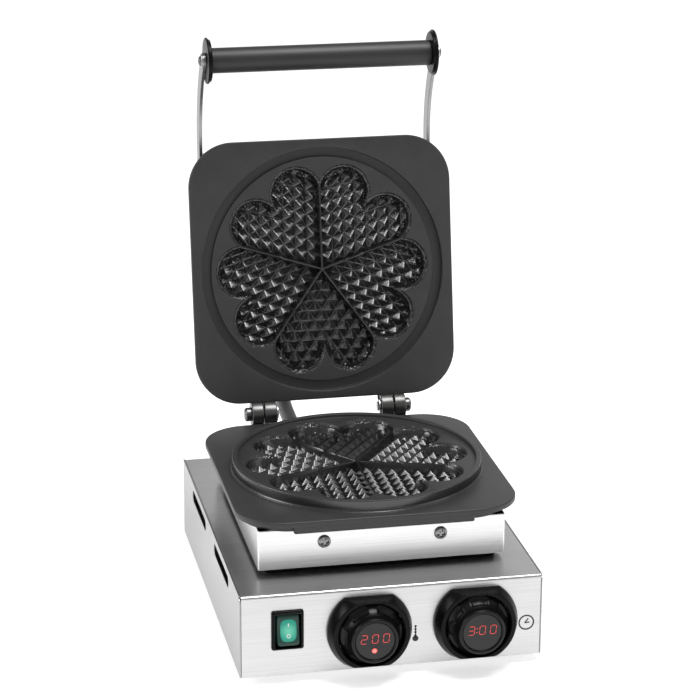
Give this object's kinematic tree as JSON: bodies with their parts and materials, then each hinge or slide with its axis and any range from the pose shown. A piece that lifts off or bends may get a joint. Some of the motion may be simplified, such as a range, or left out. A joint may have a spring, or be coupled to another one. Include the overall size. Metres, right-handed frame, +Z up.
{
  "type": "waffle maker",
  "caption": "Stainless countertop waffle maker with a round heart-pattern casting, an open hinged upper plate with a bar handle, ring knobs with displays and a lit rocker switch.",
  "frame": {"origin": "on the surface it stands on, in the middle of the whole model's box, lid open", "axes": "+Z up, front panel with the knobs faces -Y, +X to the right seen from the front"},
  "size_m": [0.25, 0.3924, 0.4647],
  "materials": {
    "black_plastic": "satin",
    "board": "matte",
    "casting": "non-stick, satin",
    "conduit": "ribbed",
    "element": "matte",
    "green_lens": "translucent, lit",
    "grip": "semi-gloss",
    "lens": "clear gloss",
    "porcelain": "glazed",
    "rubber": "matte",
    "stainless": "brushed",
    "steel": "polished",
    "wool": "fibrous",
    "zinc": "satin"
  },
  "bodies": {
    "base": {"housing_shell": "stainless", "side_panel_left": "stainless", "side_panel_right": "stainless", "bottom_plate": "stainless", "feet": "rubber", "foot_screws": "zinc", "spacer_frame": "black_plastic", "heater_housing": "stainless", "heater_housing_screws": "steel", "lower_plate": "casting", "lower_heater": "element", "lower_heater_clamp": "zinc", "lower_heater_screws": "zinc", "lower_insulation": "wool", "lower_sensor": "zinc", "hinge_pin_left": "steel", "hinge_pin_right": "steel", "hinge_clips": "steel", "temperature_collar": "black_plastic", "timer_collar": "black_plastic", "temperature_display": "black_plastic", "timer_display": "black_plastic", "temperature_lens": "lens", "timer_lens": "lens", "temperature_encoder": "black_plastic", "timer_encoder": "black_plastic", "control_board": "board", "board_standoffs": "zinc", "power_switch": "black_plastic", "power_relay": "black_plastic", "terminal_block": "porcelain", "overheat_thermostat": "zinc", "power_supply": "zinc", "cable_gland": "black_plastic", "cable_gland_nut": "black_plastic", "lower_conduit_gland": "zinc", "flexible_conduit": "conduit"},
    "lid": {"upper_conduit_gland": "zinc", "upper_plate": "casting", "upper_heater": "element", "upper_heater_clamp": "zinc", "upper_heater_screws": "zinc", "upper_insulation": "wool", "upper_sensor": "zinc", "upper_cover": "stainless", "cover_screws": "steel", "arm_left": "stainless", "arm_right": "stainless", "arm_bolts": "steel", "handle_grip": "grip", "handle_guard_left": "black_plastic", "handle_guard_right": "black_plastic", "handle_rod": "steel", "handle_screws": "steel", "handle_washers": "steel"},
    "temperature_dial": {"temperature_knob": "black_plastic", "temperature_knob_clip": "steel"},
    "timer_dial": {"timer_knob": "black_plastic", "timer_knob_clip": "steel"},
    "rocker": {"power_rocker": "green_lens"}
  },
  "joints": [
    {"name": "lid_hinge", "type": "hinge", "parent": "base", "child": "lid", "pos_m": [0, 0.0998, 0.132], "axis": [1, 0, 0], "range_deg": [0, 100.6], "deforming": ["flexible_conduit"]},
    {"name": "temperature_turn", "type": "hinge", "parent": "base", "child": "temperature_dial", "pos_m": [-0.0193, -0.1712, 0.0413], "axis": [0, 1, 0], "continuous": true},
    {"name": "timer_turn", "type": "hinge", "parent": "base", "child": "timer_dial", "pos_m": [0.0688, -0.1712, 0.0413], "axis": [0, 1, 0], "continuous": true},
    {"name": "rocker_tilt", "type": "hinge", "parent": "base", "child": "rocker", "pos_m": [-0.0862, -0.1662, 0.0465], "axis": [1, 0, 0], "range_deg": [0, 16]}
  ]
}
